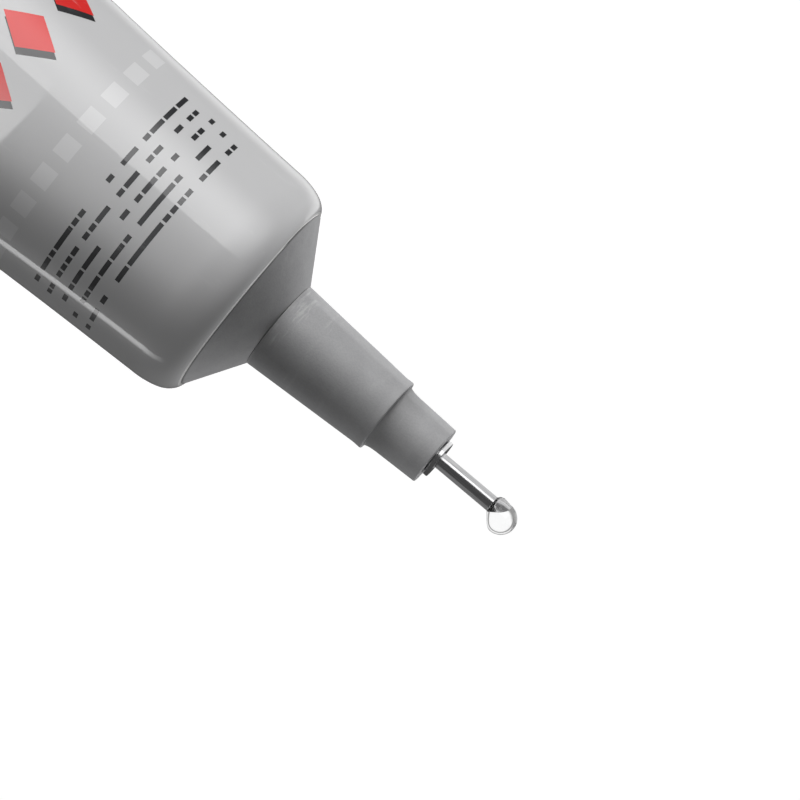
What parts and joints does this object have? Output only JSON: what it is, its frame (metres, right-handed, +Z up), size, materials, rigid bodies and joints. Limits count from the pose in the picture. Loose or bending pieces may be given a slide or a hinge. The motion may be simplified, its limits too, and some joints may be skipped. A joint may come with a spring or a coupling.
{
  "type": "tube of multipurpose glue",
  "caption": "Soft squeeze tube of clear glue lying on its back, flat-sealed at the tail, with a conical head, a screw-on stepped nozzle and a fine steel needle holding a drop.",
  "frame": {"origin": "on the table, at the middle of the bounding box's underside", "axes": "+X along the tube towards the needle, +Z up from the table, through the printed face"},
  "size_m": [0.1204, 0.0346, 0.0226],
  "materials": {
    "printed_laminate": "glossy light grey laminate with a plain printed design",
    "grey_moulding": "matt mid-grey injection moulding",
    "barrier_foil": "satin foil laminate",
    "washer_foam": "soft white closed-cell foam",
    "needle_steel": "bright drawn stainless steel",
    "clear_glue": "clear wet glue"
  },
  "bodies": {
    "tube": {"sleeve": "printed_laminate", "shoulder": "grey_moulding", "barrier_disc": "barrier_foil", "glue_fill": "clear_glue"},
    "seal": {"seal_washer": "washer_foam"},
    "applicator": {"nozzle": "grey_moulding", "needle_collar": "needle_steel", "needle": "needle_steel", "glue_column": "clear_glue", "glue_drop": "clear_glue"}
  },
  "joints": [
    {"name": "nozzle_lift", "type": "slide", "parent": "tube", "child": "seal", "axis": [0.9954, 0, 0.0961], "range_m": [0, 0.005]},
    {"name": "nozzle_turn", "type": "hinge", "parent": "seal", "child": "applicator", "pos_m": [0.03402, 0, 0.01236], "axis": [0.9954, 0, 0.0961], "range_deg": [0, 1000]}
  ],
  "couplings": [
    {"joint": "nozzle_turn", "follows": "nozzle_lift", "rad_per_m": 3490.7}
  ]
}
